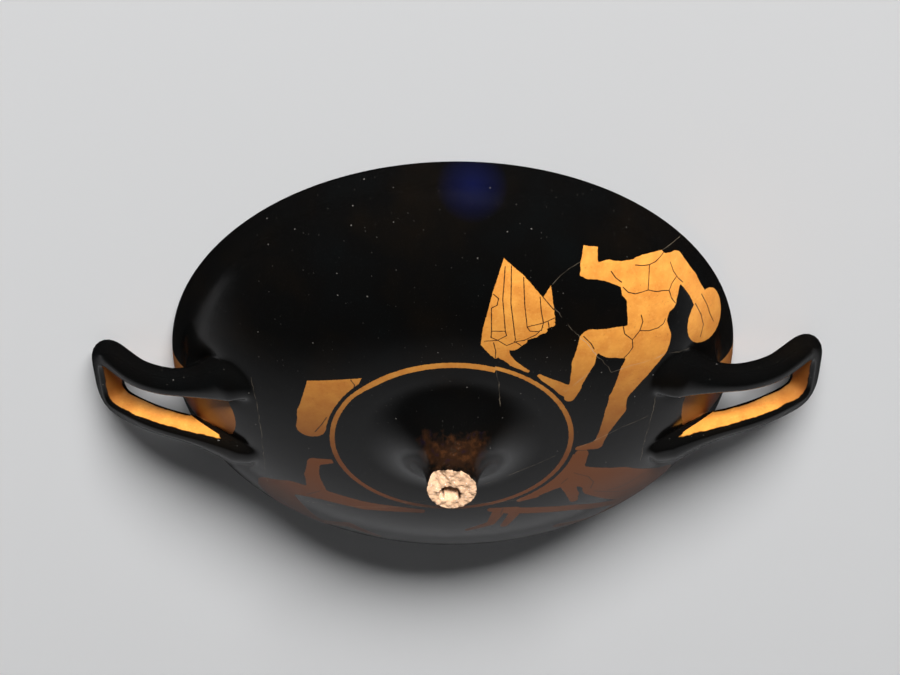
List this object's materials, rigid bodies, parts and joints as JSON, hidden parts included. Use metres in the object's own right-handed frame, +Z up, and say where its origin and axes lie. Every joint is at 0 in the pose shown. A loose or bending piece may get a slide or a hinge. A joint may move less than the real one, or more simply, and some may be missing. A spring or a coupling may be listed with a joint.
{
  "type": "greek kylix cup",
  "caption": "Wide, shallow black-gloss drinking cup with loop handles and a broken stem, lying mouth down on its rim.",
  "frame": {"origin": "middle of the rim's resting plane, where the cup lies mouth down", "axes": "+Z up from the mouth to the broken stem; the handles lie along X, the longer one towards -X; the athlete's side faces -Y"},
  "size_m": [0.2975, 0.23, 0.0714],
  "materials": {
    "gloss_clay": "glossy black slip with reserved orange clay, bare pale clay at the break"
  },
  "bodies": {
    "root": {"kylix_cup": "gloss_clay"}
  },
  "joints": []
}
